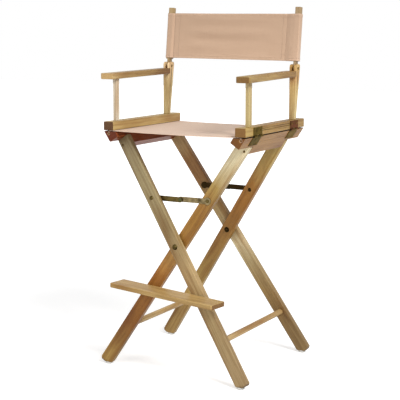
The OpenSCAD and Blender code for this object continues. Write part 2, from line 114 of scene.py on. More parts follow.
class Finish:
    """One material, put together node by node."""

    def __init__(self, name, **skin):
        self.made = bpy.data.materials.new(name)
        self.made.use_nodes = True
        self.tree = self.made.node_tree
        self.skin = self.tree.nodes["Principled BSDF"]
        for socket, value in skin.items():
            self.plug(self.skin.inputs[socket.replace("_", " ")], value)

    def plug(self, socket, value):
        """Links a wire to a socket, or sets the socket to a plain value."""
        if isinstance(value, Wire):
            self.tree.links.new(value.socket, socket)
        else:
            socket.default_value = value

    def add(self, kind, settings, inputs, out=0):
        """A node of that kind: its settings, then its sockets' values or links."""
        node = self.tree.nodes.new(kind)
        for name, value in settings.items():
            if name == "stops":
                ramp = node.color_ramp.elements
                while len(ramp) < len(value):
                    ramp.new(1.0)
                for stop, (place, colour) in zip(ramp, value):
                    stop.position = place
                    stop.color = colour
            else:
                setattr(node, name, value)
        for name, value in inputs.items():
            self.plug(node.inputs[name], value)
        return Wire(self, node.outputs[out])

    def spot(self):
        """Where a point lies, in metres from the chair's own origin."""
        return self.add("ShaderNodeTexCoord", {}, {}, out="Object")

    def mix(self, share, a, b, how="MIX"):
        """Colour b over colour a."""
        return self.add("ShaderNodeMix", {"data_type": "RGBA", "blend_type": how},
                        {0: share, 6: a, 7: b}, out=2)

    def along(self, place, axis):
        """How far a place lies along an axis."""
        return self.add("ShaderNodeVectorMath", {"operation": "DOT_PRODUCT"},
                        {0: place, 1: tuple(axis)}, out="Value")

    def noise(self, place, scale, detail=2.0, rough=0.5):
        """Soft mottling from 0 to 1, finer as the scale rises."""
        return self.add("ShaderNodeTexNoise", {},
                        {"Vector": place, "Scale": scale, "Detail": detail, "Roughness": rough})

    def bumped(self, height, depth, normal=None):
        """The normal of a relief whose height of 0 to 1 is worth that many metres."""
        inputs = {"Height": height, "Distance": depth, "Strength": 1.0}
        if normal is not None:
            inputs["Normal"] = normal
        return self.add("ShaderNodeBump", {}, inputs)

    def wear(self, colour, rough, normal):
        """Gives the skin its colour, roughness and relief."""
        for name, value in (("Base Color", colour), ("Roughness", rough), ("Normal", normal)):
            self.plug(self.skin.inputs[name], value)
        return self.made


def paint(colour, share=1.0):
    """A colour as a socket takes it, darker for a share under 1 and paler for one over it."""
    return tuple(part * share for part in colour) + (1.0,)


def build(name, points, faces):
    """A new object in the scene, from its points and faces."""
    mesh = bpy.data.meshes.new(name)
    mesh.from_pydata([tuple(map(float, p)) for p in points], [], [tuple(map(int, f)) for f in faces])
    made = bpy.data.objects.new(name, mesh)
    scene.collection.objects.link(made)
    return made


WHITE = (1.0, 1.0, 1.0)
PAPER = 0.86
# how much light the paper gives off near the chair, and where that has risen to white
PAPER_LIFT = 0.47
LIFT_FROM, LIFT_TO = 0.7, 3.2
FLOOR_REACH = 14.0

paper = Finish("floor_paper", Roughness=0.9, Base_Color=paint(WHITE, PAPER), Specular_IOR_Level=0.0)
ray = paper.tree.nodes.new("ShaderNodeLightPath")
seen = Wire(paper, ray.outputs["Is Camera Ray"]) + Wire(paper, ray.outputs["Is Glossy Ray"])
seen = (seen + Wire(paper, ray.outputs["Is Transmission Ray"])).kept()
away = paper.add("ShaderNodeVectorMath", {"operation": "LENGTH"}, {0: paper.spot()}, out="Value")
lift = paper.mix(away.step(LIFT_FROM, LIFT_TO), paint(WHITE, PAPER_LIFT), paint(WHITE))
paper.plug(paper.skin.inputs["Emission Color"], paper.mix(seen, paint(WHITE, 0.0), lift))
paper.plug(paper.skin.inputs["Emission Strength"], 1.0)

corners = ((-1, -1), (1, -1), (1, 1), (-1, 1))
floor = build("studio_floor", [(x * FLOOR_REACH, y * FLOOR_REACH, 0.0) for x, y in corners], [(0, 1, 2, 3)])
floor.data.materials.append(paper.made)

# the world lights the chair at one level, and is white where it is looked at
AMBIENT = 0.42
scene.view_settings.view_transform = "Standard"
world = bpy.data.worlds.new("studio")
world.use_nodes = True
scene.world = world
sky = world.node_tree.nodes["Background"]
sky.inputs["Color"].default_value = paint(WHITE)
path = world.node_tree.nodes.new("ShaderNodeLightPath")
looked = path.outputs["Is Camera Ray"]
for ray_kind in ("Is Glossy Ray", "Is Transmission Ray"):
    either = world.node_tree.nodes.new("ShaderNodeMath")
    either.operation = "MAXIMUM"
    world.node_tree.links.new(looked, either.inputs[0])
    world.node_tree.links.new(path.outputs[ray_kind], either.inputs[1])
    looked = either.outputs[0]
level = world.node_tree.nodes.new("ShaderNodeMapRange")
level.inputs["To Min"].default_value = AMBIENT
level.inputs["To Max"].default_value = 1.0
world.node_tree.links.new(looked, level.inputs["Value"])
world.node_tree.links.new(level.outputs[0], sky.inputs["Strength"])


# ---- Camera and lamps ---------------------------------------------------
# One long lens from the front right at chest height, a big soft lamp high on the
# right, and a weaker one in front to open the shadows.

def lamp(name, spot, look, size, watts):
    """A square soft box that faces a point."""
    made = bpy.data.lights.new(name, "AREA")
    made.shape = "SQUARE"
    made.size = size
    made.energy = watts
    box = bpy.data.objects.new(name, made)
    box.location = spot
    box.rotation_euler = (Vector(look) - Vector(spot)).to_track_quat("-Z", "Y").to_euler()
    scene.collection.objects.link(box)


glide_low, glide_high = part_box("outer_glides")
mid_y = (glide_low.y + glide_high.y) / 2
waist = (0.0, mid_y, 0.6)
lamp("key_lamp", (3.2, -1.6, 3.4), waist, size=1.6, watts=185.0)
lamp("front_lamp", (-1.8, -4.2, 2.2), waist, size=2.4, watts=66.0)

LENS = 101.05
EYE_RIGHT, EYE_FRONT, EYE_HEIGHT = 1.7594, 3.1596, 1.1063
EYE_DOWN = math.radians(8.99)
EYE_TURN = math.radians(29.39)
shot = bpy.data.cameras.new("shot")
shot.lens = LENS
shot.sensor_width = 36.0
shot.clip_end = 60.0
eye = bpy.data.objects.new("shot", shot)
eye.location = (EYE_RIGHT, mid_y - EYE_FRONT, EYE_HEIGHT)
eye.rotation_euler = Euler((math.pi / 2 - EYE_DOWN, 0.0, EYE_TURN))
scene.collection.objects.link(eye)
scene.camera = eye


# ---- Leg frames ---------------------------------------------------------
# Four flat hardwood bars, sawn square, eased with a router and lacquered satin.
# They cross in two pairs, lean out sideways and splay to the front and the back.

LEAN = math.radians(32.715)
SPLAY = math.radians(4.8)
CROSS_Z = 0.412
LEG_W = 0.042
LEG_T = 0.021
OUTER_OUT = 0.1862
INNER_OUT = 0.1592
# the growth rings, and how far off the bar's middle the middle of the tree lies
RING = 0.0042
TREE_V, TREE_W = 0.045, 0.028
# the dark of the hinge gap between the rails: grime and painted shade
JOINT_GRIME_AND_SHADE = (0.020, 0.009, 0.004)
PLAIN_END = (1.0, 1.0, 1.0)


def oak(name, heart, grain, wide, clean, size, seed, end_shade=PLAIN_END, joint=None):
    """Lacquered hardwood whose grain runs along one axis of a bar, and shows its rings
    on the sawn ends. clean is its palest colour, or a list of such colours with how far
    from the heart each lies. size is half the bar's width and thickness, end_shade
    tints the sawn ends, and joint is the height of a hinge line, darkened there by
    grime and by painted shade in the gap."""
    wood = Finish(name, Coat_Weight=0.09, Coat_Roughness=0.30, IOR=1.5, Specular_IOR_Level=0.22)
    grain = Vector(grain).normalized()
    wide = (Vector(wide) - grain * grain.dot(Vector(wide))).normalized()
    thick = grain.cross(wide)
    spot = wood.spot()
    place = wood.add("ShaderNodeVectorMath", {"operation": "SUBTRACT"}, {0: spot, 1: tuple(heart)})
    u = wood.along(place, grain)
    v = wood.along(place, wide)
    w = wood.along(place, thick)

    def stretched(along, across):
        """A place for a pattern that is drawn out along the grain."""
        return wood.add("ShaderNodeCombineXYZ", {},
                        {"X": u * along + seed, "Y": v * across, "Z": w * across + seed * 0.37})

    def times(colour, *shares):
        """A colour with its red, green and blue each multiplied."""
        return wood.mix(1.0, colour, paint(shares), "MULTIPLY")

    if isinstance(clean[0], tuple):
        first, last = clean[0][0], clean[-1][0]
        stops = [((at - first) / (last - first), paint(colour)) for at, colour in clean]
        drift = (wood.noise(stretched(5.0, 30.0), 1.0, 2.0) - 0.5) * 0.16
        light = wood.add("ShaderNodeValToRGB", {"stops": stops},
                         {"Fac": (u - first) / (last - first) + drift})
    else:
        light = paint(clean)
    dark = times(light, 0.56, 0.45, 0.34)

    sway = wood.noise(stretched(1.6, 9.0), 1.0, 1.0) - 0.5
    off_v = v + TREE_V + 0.01 * math.sin(seed * 7.1)
    off_w = w * 1.6 + TREE_W * math.cos(seed * 3.3)
    ring = ((off_v * off_v + off_w * off_w) ** 0.5 + sway * 0.022) / RING
    late = ring.part() ** 2.6
    streak = wood.noise(stretched(7.0, 150.0), 1.0, 3.0, 0.6)
    cloud = wood.noise(stretched(4.0, 26.0), 1.0, 2.0)
    pore = wood.noise(stretched(90.0, 1500.0), 1.0, 1.0).step(0.60, 0.70)
    pore = pore * (0.35 + late * 0.65)

    tone = (cloud - 0.5) * 2.1 + (streak - 0.5) * 2.0 + late * 0.30 + 0.30
    colour = wood.mix(tone.kept(), light, dark)
    colour = wood.mix((cloud - 0.56).kept() * 2.2, colour, times(dark, 0.90, 0.72, 0.50))
    colour = wood.mix(pore * 0.55, colour, times(dark, 0.42, 0.40, 0.38))

    # sawn ends drink the stain and go darker
    facing = wood.add("ShaderNodeTexCoord", {}, {}, out="Normal")
    end = abs(wood.along(facing, grain)).step(0.70, 0.92)
    end_tone = times(dark, 0.56 * end_shade[0], 0.46 * end_shade[1], 0.40 * end_shade[2])
    colour = wood.mix(end * (0.84 + late * 0.14), colour, end_tone)
    if joint is not None:
        # a dark band along the hinge line: grime, and painted shade in the gap between the rails
        joint_grime_and_shade = 1.0 - abs(wood.along(spot, (0, 0, 1)) - joint).step(0.0014, 0.0030)
        colour = wood.mix(joint_grime_and_shade * 0.9, colour, paint(JOINT_GRIME_AND_SHADE))

    # the long edges are rubbed paler by hands and by packing
    edge = (abs(v) / size[0]).kept() ** 26.0 * (abs(w) / size[1]).kept() ** 14.0
    rub = edge * (1.0 - end) * wood.noise(stretched(30.0, 60.0), 1.0, 2.0).step(0.36, 0.62)
    colour = wood.mix(rub * 0.6, colour, times(light, 1.20, 1.24, 1.30))

    rough = 0.46 + pore * 0.22 + end * 0.22 + (streak - 0.5) * 0.16 + rub * 0.12
    height = 0.6 - pore * 0.6 - late * 0.14 + streak * 0.12
    return wood.wear(colour, rough, wood.bumped(height, 0.00025))


# how far most sawn edges are eased
SOFT = 0.0009


def ease(node, width, segments=2, least=None):
    """Rounds a CAD piece's sharp edges, as a router or a sander does, or only those at
    least so long."""
    piece = nodes[node]
    for face in piece.data.polygons:
        face.use_smooth = True
    if "custom_normal" in piece.data.attributes:
        piece.data.attributes.remove(piece.data.attributes["custom_normal"])
    weld = piece.modifiers.new("weld", "WELD")
    weld.merge_threshold = 0.00001
    edge = piece.modifiers.new("edge", "BEVEL")
    edge.width = width
    edge.segments = segments
    edge.limit_method = "ANGLE"
    edge.angle_limit = math.radians(34)
    edge.use_clamp_overlap = False
    if least is not None:
        mesh = piece.data
        faces_at = [0] * len(mesh.edges)
        for corner in mesh.loops:
            faces_at[corner.edge_index] += 1
        marks = mesh.attributes.new("bevel_weight_edge", "FLOAT", "EDGE").data
        for side in mesh.edges:
            a, b = (mesh.vertices[i].co for i in side.vertices)
            # a sharp edge of a CAD mesh is open, as each face has corners of its own
            marks[side.index].value = float(faces_at[side.index] == 1 and (a - b).length > least)
        edge.limit_method = "WEIGHT"
    piece.modifiers.new("faces", "WEIGHTED_NORMAL").weight = 100


def dress(node, finish):
    """Gives a CAD piece its finish."""
    slots = nodes[node].data.materials
    slots.clear()
    slots.append(finish)


def leg_axis(right, end):
    """The way up a leg and the way across its width. end is -1 for a leg that splays to
    the front, and 1 for one that splays to the back."""
    turn = Euler((0.0, -LEAN, 0.0)).to_matrix()
    up = turn @ Vector((0.0, -math.sin(end * SPLAY), math.cos(end * SPLAY)))
    wide = turn @ Vector((1.0, 0.0, 0.0))
    if right:
        up.x, wide.x = -up.x, -wide.x
    return up, wide


# pale sapwood at one end of a board, red heartwood at the other; the inner front leg's pale top is a
# painted highlight where its lacquer catches the light
LEGS = (
    ("outer_front_leg", False, -1, OUTER_OUT, 1.3,
     ((-0.43, (0.335, 0.231, 0.109)), (-0.28, (0.365, 0.262, 0.120)), (-0.10, (0.460, 0.322, 0.148)),
      (0.08, (0.350, 0.276, 0.134)), (0.33, (0.285, 0.228, 0.118)))),
    ("outer_rear_leg", False, 1, OUTER_OUT, 4.7,
     ((-0.43, (0.240, 0.155, 0.060)), (-0.24, (0.305, 0.198, 0.072)), (-0.12, (0.440, 0.345, 0.175)),
      (-0.05, (0.680, 0.590, 0.370)), (0.06, (0.400, 0.285, 0.125)), (0.12, (0.320, 0.205, 0.068)),
      (0.20, (0.275, 0.138, 0.044)), (0.28, (0.310, 0.160, 0.050)), (0.33, (0.430, 0.290, 0.130)))),
    ("inner_front_leg", True, -1, INNER_OUT, 8.2,
     ((-0.43, (0.372, 0.230, 0.060)), (-0.30, (0.248, 0.094, 0.012)), (-0.11, (0.402, 0.175, 0.026)),
      (-0.04, (0.530, 0.292, 0.078)), (0.08, (0.312, 0.155, 0.023)), (0.14, (0.290, 0.140, 0.023)),
      # the pale top stop is a painted highlight
      (0.22, (0.360, 0.236, 0.064)), (0.31, (0.690, 0.600, 0.380)))),
    ("inner_rear_leg", True, 1, INNER_OUT, 12.9,
     ((-0.43, (0.345, 0.218, 0.072)), (-0.37, (0.340, 0.212, 0.070)), (-0.30, (0.480, 0.310, 0.092)),
      (-0.22, (0.355, 0.228, 0.064)), (-0.08, (0.305, 0.172, 0.045)), (0.10, (0.288, 0.124, 0.021)),
      (0.19, (0.305, 0.140, 0.026)), (0.32, (0.540, 0.405, 0.143)))),
)
for leg, right, end, out, seed, clean in LEGS:
    up, wide = leg_axis(right, end)
    heart = (0.0, mid_y + end * out, CROSS_Z)
    dress(leg, oak(leg + "_oak", heart, up, wide, clean, (LEG_W / 2, LEG_T / 2), seed))
    ease(leg, SOFT, least=0.025)


# ---- Stretchers, dowels and peg -----------------------------------------
# Round rods turned on a dowel lathe and glued into blind sockets, straight
# grained and a shade paler than the legs.

ROD_TONE = (0.50, 0.345, 0.150)
# a size past the wood's own leaves its edges unrubbed
UNRUBBED = (0.05, 0.05)
for rod, seed in (("outer_stretcher", 2.1), ("inner_stretcher", 5.4),
                  ("left_cloth_dowel", 7.7), ("right_cloth_dowel", 9.3), ("footrest_peg", 3.2)):
    low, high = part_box(rod)
    dress(rod, oak(rod + "_oak", (low + high) / 2, (0, 1, 0), (1, 0, 0), ROD_TONE, UNRUBBED, seed))


# ---- Seat rails and arm rails -------------------------------------------
# Deep bars that run front to back on each side. The seat rail is screwed between
# its legs, the arm rail is hinged on top, and the seat cloth comes out between them.

HINGE_Z = 0.767
# the left seat rail's deep red-brown is painted shade over its own colour, as the seat cloth shades its
# inner face
for rail, right, seed, clean in (("left_seat_rail", False, 6.1, (0.225, 0.048, 0.005)),
                                 ("right_seat_rail", True, 2.7, (0.322, 0.158, 0.032))):
    low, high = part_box(rail)
    wide = Vector((-math.cos(LEAN) if right else math.cos(LEAN), 0.0, math.sin(LEAN)))
    dress(rail, oak(rail + "_oak", (low + high) / 2, (0, 1, 0), wide, clean, UNRUBBED,
                    seed, (1.2, 1.2, 1.2), HINGE_Z))
    ease(rail, 0.0008)

for rail, seed, end_shade, clean in (
        ("left_arm_rail", 3.9, (0.30, 0.09, 0.03), (0.520, 0.377, 0.150)),
        ("right_arm_rail", 11.2, (1.4, 1.4, 1.9),
         ((-0.15, (0.395, 0.262, 0.072)), (0.00, (0.385, 0.232, 0.060)), (0.10, (0.300, 0.178, 0.042))))):
    low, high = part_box(rail)
    half = (high - low) / 2
    dress(rail, oak(rail + "_oak", (low + high) / 2, (0, 1, 0), (1, 0, 0), clean,
                    (half.x, half.z), seed, end_shade, HINGE_Z))
    ease(rail, SOFT)


# ---- Arms ---------------------------------------------------------------
# On each side a thin front post and a tapered rear post with a rounded, slotted
# head carry a flat armrest, dowelled and glued, with one screw from behind.

POST_GRAIN, REAR_GRAIN, REST_GRAIN = (0, 0, 1), (0, 0.06, 1), (0, 1, 0)
REST_SOFT = 0.0028
ARM_PARTS = (
    ("left_front_post", POST_GRAIN, 1.8, SOFT, PLAIN_END, (0.820, 0.790, 0.690)),
    ("left_rear_post", REAR_GRAIN, 4.4, SOFT, PLAIN_END,
     ((-0.09, (0.540, 0.425, 0.205)), (0.02, (0.520, 0.395, 0.180)), (0.08, (0.840, 0.640, 0.370)))),
    ("left_armrest", REST_GRAIN, 2.6, REST_SOFT, (2.6, 3.4, 4.6),
     ((-0.17, (0.570, 0.420, 0.195)), (-0.08, (0.410, 0.280, 0.100)), (0.12, (0.270, 0.155, 0.038)))),
    ("right_front_post", POST_GRAIN, 6.6, SOFT, PLAIN_END,
     ((-0.08, (0.475, 0.375, 0.168)), (0.03, (0.500, 0.395, 0.185)), (0.08, (0.600, 0.470, 0.250)))),
    ("right_rear_post", REAR_GRAIN, 9.1, SOFT, PLAIN_END,
     ((-0.09, (0.540, 0.425, 0.205)), (0.02, (0.560, 0.390, 0.155)), (0.05, (0.470, 0.265, 0.098)),
      (0.09, (0.560, 0.360, 0.125)))),
    ("right_armrest", REST_GRAIN, 7.3, REST_SOFT, (1.35, 1.35, 1.35),
     ((-0.17, (0.385, 0.277, 0.098)), (-0.05, (0.372, 0.245, 0.078)), (0.12, (0.250, 0.132, 0.028)))),
)
for node, grain, seed, soft, end_shade, clean in ARM_PARTS:
    low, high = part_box(node)
    half = (high - low) / 2
    flat = node.endswith("armrest")
    dress(node, oak(node + "_oak", (low + high) / 2, grain, (1, 0, 0), clean,
                    (half.x, half.z if flat else half.y), seed, end_shade))
    ease(node, soft, 4 if flat else 2)


# ---- Back sticks --------------------------------------------------------
# Two square sticks with a thin tongue at the foot, which turns in the slot of the
# rear post. The back cloth's sleeves slide over them from above.

STICK_LEAN = math.radians(6.9)
for stick, seed, clean in (("left_back_stick", 5.9, (0.400, 0.285, 0.138)),
                           ("right_back_stick", 10.4, (0.345, 0.245, 0.130))):
    low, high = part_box(stick)
    dress(stick, oak(stick + "_oak", (low + high) / 2,
                     (0, math.sin(STICK_LEAN), math.cos(STICK_LEAN)), (1, 0, 0), clean,
                     UNRUBBED, seed, (1.3, 1.3, 1.3)))
    ease(stick, SOFT)


# ---- Footrest -----------------------------------------------------------
# A plain board on one bolt through a front leg, which rests on a peg in the other
# front leg. Its wood is a little darker toward the chair's right.

FOOT_YAW = math.radians(7.5)
FOOT_FALL = 0.035
FOOT_HALF = (0.0352, 0.00725)
FOOT_TONES = ((-0.20, (0.530, 0.355, 0.130)), (0.22, (0.460, 0.305, 0.115)))
low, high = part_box("footrest_board")
grain = (math.cos(FOOT_YAW), -math.sin(FOOT_YAW), -FOOT_FALL)
wide = (math.sin(FOOT_YAW), math.cos(FOOT_YAW), 0)
dress("footrest_board", oak("footrest_oak", (low + high) / 2, grain, wide, FOOT_TONES, FOOT_HALF, 8.8))
ease("footrest_board", 0.0016, 3)


# ---- Hinges, stays, screws and bolts ------------------------------------
# Pressed and plated steel: brass-plated hinges, stays and screws that have gone
# dull and olive with age, and zinc-plated bolts and washers.

def plate(name, colour, tarnish, rough, seed, sheen=(1.0, 0.78, 0.45), rear=None):
    """Plated metal, dull where fingers and air have reached it. rear is its colour on
    the back half of the chair, when that differs."""
    metal = Finish(name, Metallic=1.0, IOR=1.5, Specular_Tint=paint(sheen))
    place = metal.spot()
    patch = metal.noise(place, 60.0 + seed, 4.0, 0.6)
    fine = metal.noise(place, 900.0, 2.0, 0.5)
    brush = metal.add("ShaderNodeVectorMath", {"operation": "MULTIPLY"},
                      {0: place, 1: (400.0, 2600.0, 400.0)})
    hair = metal.noise(brush, 1.0, 2.0, 0.6)
    spot = metal.noise(place, 420.0, 1.0).step(0.66, 0.74)
    dull = ((patch - 0.42) * 3.0).kept()
    shade = paint(colour)
    if rear is not None:
        shade = metal.mix(metal.along(place, (0, 1, 0)).step(-0.05, 0.05), shade, paint(rear))
    shade = metal.mix(dull, shade, paint(tarnish))
    shade = metal.mix(spot * 0.6, shade, paint(tarnish, 0.35))
    roughness = rough + dull * 0.18 + (fine - 0.5) * 0.10 + spot * 0.2
    return metal.wear(shade, roughness, metal.bumped(hair * 0.5 + fine * 0.5, 0.00004))


arm_leaf_brass = plate("arm_leaf_brass", (0.080, 0.056, 0.014), (0.034, 0.024, 0.007), 0.40, 0.0,
                       sheen=(1.0, 0.82, 0.58), rear=(0.092, 0.020, 0.020))
seat_leaf_brass = plate("seat_leaf_brass", (0.046, 0.036, 0.018), (0.020, 0.016, 0.008), 0.44, 2.0,
                        sheen=(1.0, 0.84, 0.58), rear=(0.080, 0.054, 0.022))
stay_brass = plate("stay_brass", (0.095, 0.068, 0.022), (0.022, 0.015, 0.005), 0.36, 7.0,
                   rear=(0.022, 0.012, 0.004))
stay_pale = plate("stay_pale", (0.190, 0.145, 0.072), (0.036, 0.026, 0.010), 0.36, 9.0)
rivet_green = plate("rivet_green", (0.060, 0.064, 0.028), (0.020, 0.022, 0.010), 0.40, 4.0,
                    rear=(0.022, 0.014, 0.006))
screw_brass = plate("screw_brass", (0.120, 0.075, 0.028), (0.030, 0.020, 0.010), 0.40, 3.0)
zinc = plate("zinc", (0.300, 0.290, 0.270), (0.120, 0.115, 0.105), 0.34, 5.0, sheen=WHITE)

for hand in ("left", "right"):
    dress(hand + "_arm_hinge_leaves", arm_leaf_brass)
    for node in ("_seat_hinge_leaves", "_hinge_pins"):
        dress(hand + node, seat_leaf_brass)
    for node in ("_seat_hinge_screws", "_arm_screws"):
        dress(hand + node, screw_brass)
    dress(hand + "_back_bolt", screw_brass)
for node in ("outer_leg_screws", "inner_leg_screws"):
    dress(node, screw_brass)
for pair in ("outer", "inner"):
    dress(pair + "_stay_bolts", stay_brass)
    for end in ("front", "rear"):
        dress(f"{pair}_{end}_stay", stay_pale if (pair, end) == ("inner", "front") else stay_brass)
        dress(f"{pair}_{end}_stay_rivet", rivet_green)
dress("crossing_bolts", stay_brass)
for node in ("crossing_spacers", "footrest_bolt", "footrest_washer"):
    dress(node, zinc)


# ---- Glides -------------------------------------------------------------
# Moulded nylon discs nailed under the feet. They are pale grey, and scuffed and
# dirty round the lower edge, where they slide.

nylon = Finish("glide_nylon", IOR=1.5)
place = nylon.spot()
scuff = nylon.noise(place, 260.0, 4.0, 0.65)
pebble = nylon.noise(place, 2400.0, 1.0)
low_edge = 1.0 - nylon.along(place, (0, 0, 1)).step(0.0, 0.004)
grey = nylon.mix((scuff - 0.35).kept() * 1.4, paint((0.62, 0.61, 0.58)), paint((0.44, 0.43, 0.40)))
grey = nylon.mix(low_edge * (scuff - 0.30).kept(), grey, paint((0.24, 0.22, 0.20)))
grip = nylon.wear(grey, 0.46 + (scuff - 0.5) * 0.3, nylon.bumped(pebble, 0.00006))
for pair in ("outer", "inner"):
    dress(pair + "_glides", grip)


# ---- Seat cloth ---------------------------------------------------------
# Heavy cotton canvas. Each side is sewn into a loop round a dowel and slid into its
# rail's groove, and the front and rear edges are turned under and stitched.

CLOTH_T = 0.0013
HEM_T = 0.0020
YARN = 0.0010
# how far beside a row of stitches the cloth is drawn in
PULL = 0.0022


def canvas(name, pale, deep, rows, darkening=None):
    """Plain-woven cotton with uneven yarns and a little nap, pressed in along its rows
    of stitches, with painted shade in those creases. It reads where a point lay on the
    flat cloth, so the weave stays on it as it moves. rows are the flat x and the flat y
    of the rows. darkening is the flat y where the cloth starts to go darker towards the
    top, and where it is darkest."""
    cotton = Finish(name, IOR=1.45, Sheen_Weight=0.22, Sheen_Roughness=0.45, Specular_IOR_Level=0.25)
    flat = cotton.add("ShaderNodeAttribute", {"attribute_name": "cut"}, {}, out="Vector")
    x = cotton.along(flat, (1, 0, 0))
    y = cotton.along(flat, (0, 1, 0))
    hem = cotton.along(flat, (0, 0, 1))
    warp = (x / YARN).part() * 2.0 - 1.0
    warp = 1.0 - warp * warp
    weft = (y / YARN).part() * 2.0 - 1.0
    weft = 1.0 - weft * weft
    over = (x / (2 * YARN)).part() - 0.5
    over = (over * ((y / (2 * YARN)).part() - 0.5)).step(-0.002, 0.002)
    cross = over * warp * (weft * 0.4 + 0.6) + (1.0 - over) * weft * (warp * 0.4 + 0.6)

    def yarns(along, across):
        """Thick and thin places, drawn out along the yarns of one direction."""
        return cotton.noise(cotton.add("ShaderNodeCombineXYZ", {}, {"X": x * along, "Y": y * across}),
                            1.0, 3.0, 0.65)

    slub = yarns(14.0, 700.0) * 0.5 + yarns(700.0, 14.0) * 0.5
    cast = cotton.noise(flat, 9.0, 3.0, 0.55)
    fold = cotton.noise(flat, 32.0, 2.0, 0.5)
    tone = (slub - 0.5) * 1.9 + (cast - 0.5) * 0.5 + (fold - 0.5) * 0.25 + 0.5
    colour = cotton.mix(tone.kept(), paint(deep), paint(pale))
    if darkening is not None:
        # darker towards the top of the band
        darker_share = ((y - darkening[0]) / (darkening[1] - darkening[0])).kept()
        colour = cotton.mix(darker_share * 0.7, colour, paint(deep, 0.84))
    colour = cotton.mix((1.0 - cross) * 0.30, colour, paint(deep, 0.55))
    colour = cotton.mix(hem * (slub - 0.30).kept() * 0.9, colour, paint(pale, 1.12))
    stitch_crease_and_shade = 0.0
    for way, places in ((x, rows[0]), (y, rows[1])):
        for place in places:
            stitch_crease_and_shade = stitch_crease_and_shade + (1.0 - abs(way - place) / PULL).kept()
    stitch_crease_and_shade = stitch_crease_and_shade.kept()
    # painted shade in the creases along the rows of stitches
    colour = cotton.mix(stitch_crease_and_shade * 0.30, colour, paint(deep, 0.60))
    rough = 0.90 - cross * 0.10 + (slub - 0.5) * 0.1
    weave = cotton.bumped(cross * 0.8 + slub * 0.5, 0.00018)
    return cotton.wear(colour, rough, cotton.bumped(1.0 - stitch_crease_and_shade, 0.0006, weave))


def squares(m, n):
    """The number of every point in a grid of m by n, and the four round each square."""
    where = np.arange(m * n).reshape(m, n)
    four = np.stack([where[:-1, :-1], where[1:, :-1], where[1:, 1:], where[:-1, 1:]], axis=2)
    return where, four.reshape(-1, 4)


def woven(name, middle, thick, cut, butted=()):
    """A sheet of cloth from a grid of points on its middle surface: two faces and
    a rounded rim. A butted side is cut square, and meets the next piece."""
    m, n = middle.shape[:2]
    run_u, run_v = np.gradient(middle, axis=0), np.gradient(middle, axis=1)
    face = np.cross(run_u, run_v)
    face /= np.linalg.norm(face, axis=2, keepdims=True)
    half = face * (np.asarray(thick) / 2)[..., None]
    loop = ([(i, 0) for i in range(m)] + [(m - 1, j) for j in range(1, n)]
            + [(i, n - 1) for i in range(m - 2, -1, -1)] + [(0, j) for j in range(n - 2, 0, -1)])
    rim = []
    for i, j in loop:
        out = np.zeros(3)
        for side, on, way in (("low_v", j == 0, -run_v[i, j]), ("high_v", j == n - 1, run_v[i, j]),
                              ("low_u", i == 0, -run_u[i, j]), ("high_u", i == m - 1, run_u[i, j])):
            if on and side not in butted:
                out = out + way / np.linalg.norm(way)
        rim.append(middle[i, j] + out * thick[i, j] * 0.38)
    points = np.concatenate([(middle + half).reshape(-1, 3), (middle - half).reshape(-1, 3), np.array(rim)])
    where, top = squares(m, n)
    under = m * n
    faces = [tuple(f) for f in top] + [tuple(f[::-1] + under) for f in top]
    for k, spot in enumerate(loop):
        follow = (k + 1) % len(loop)
        a, b = where[spot], where[loop[follow]]
        rim_a, rim_b = 2 * under + k, 2 * under + follow
        faces += [(a, rim_a, rim_b, b), (rim_a, a + under, b + under, rim_b)]
    piece = build(name, points, faces)
    mesh = piece.data
    mesh.polygons.foreach_set("use_smooth", [True] * len(mesh.polygons))
    rim_cut = np.array([cut[spot] for spot in loop])
    flat = np.concatenate([cut.reshape(-1, 3), cut.reshape(-1, 3), rim_cut]).astype(np.float32)
    mesh.attributes.new("cut", "FLOAT_VECTOR", "POINT").data.foreach_set("vector", flat.ravel())
    sides = {"low_v": where[:, 0], "high_v": where[:, -1], "low_u": where[0], "high_u": where[-1]}
    square = set()
    for side in butted:
        square |= set(sides[side].tolist()) | set((sides[side] + under).tolist())
    crisp = [e.vertices[0] in square and e.vertices[1] in square for e in mesh.edges]
    mesh.edges.foreach_set("use_edge_sharp", crisp)
    mesh.validate()
    return piece


def hang(name, cut, start, pinned, frames):
    """Lets a cloth settle under its own weight between the points that hold it. cut is how
    it was sewn, start is where it is let go."""
    m, n = cut.shape[:2]
    where, four = squares(m, n)
    trial = build(name + "_trial", start.reshape(-1, 3), four)
    mesh = trial.data
    trial.shape_key_add(name="start")
    sewn = trial.shape_key_add(name="sewn")
    sewn.data.foreach_set("co", cut.astype(np.float32).ravel())
    sewn.value = 0.0
    held = trial.vertex_groups.new(name="held")
    held.add(where[pinned].ravel().tolist(), 1.0, "REPLACE")
    fall = trial.modifiers.new("fall", "CLOTH")
    for key, value in (("quality", 14), ("mass", 0.0005), ("tension_stiffness", 80.0),
                       ("compression_stiffness", 80.0), ("shear_stiffness", 20.0),
                       ("bending_stiffness", 0.8), ("air_damping", 2.0),
                       ("vertex_group_mass", "held"), ("rest_shape_key", sewn)):
        setattr(fall.settings, key, value)
    fall.point_cache.frame_start = 1
    fall.point_cache.frame_end = frames
    for step in range(1, frames + 1):
        scene.frame_set(step)
    settled = trial.evaluated_get(bpy.context.evaluated_depsgraph_get()).to_mesh()
    found = np.zeros(cut.size, np.float32)
    settled.vertices.foreach_get("co", found)
    scene.frame_set(1)
    bpy.data.objects.remove(trial)
    bpy.data.meshes.remove(mesh)
    return found.reshape(cut.shape).astype(float)


def finer(grid, old_u, old_v, new_u, new_v):
    """The same sheet on other grid lines."""
    rows = np.stack([[np.interp(new_u, old_u, grid[:, j, k]) for j in range(len(old_v))]
                     for k in range(3)], axis=2)
    return np.stack([[np.interp(new_v, old_v, rows[:, i, k]) for i in range(len(new_u))]
                     for k in range(3)], axis=2)


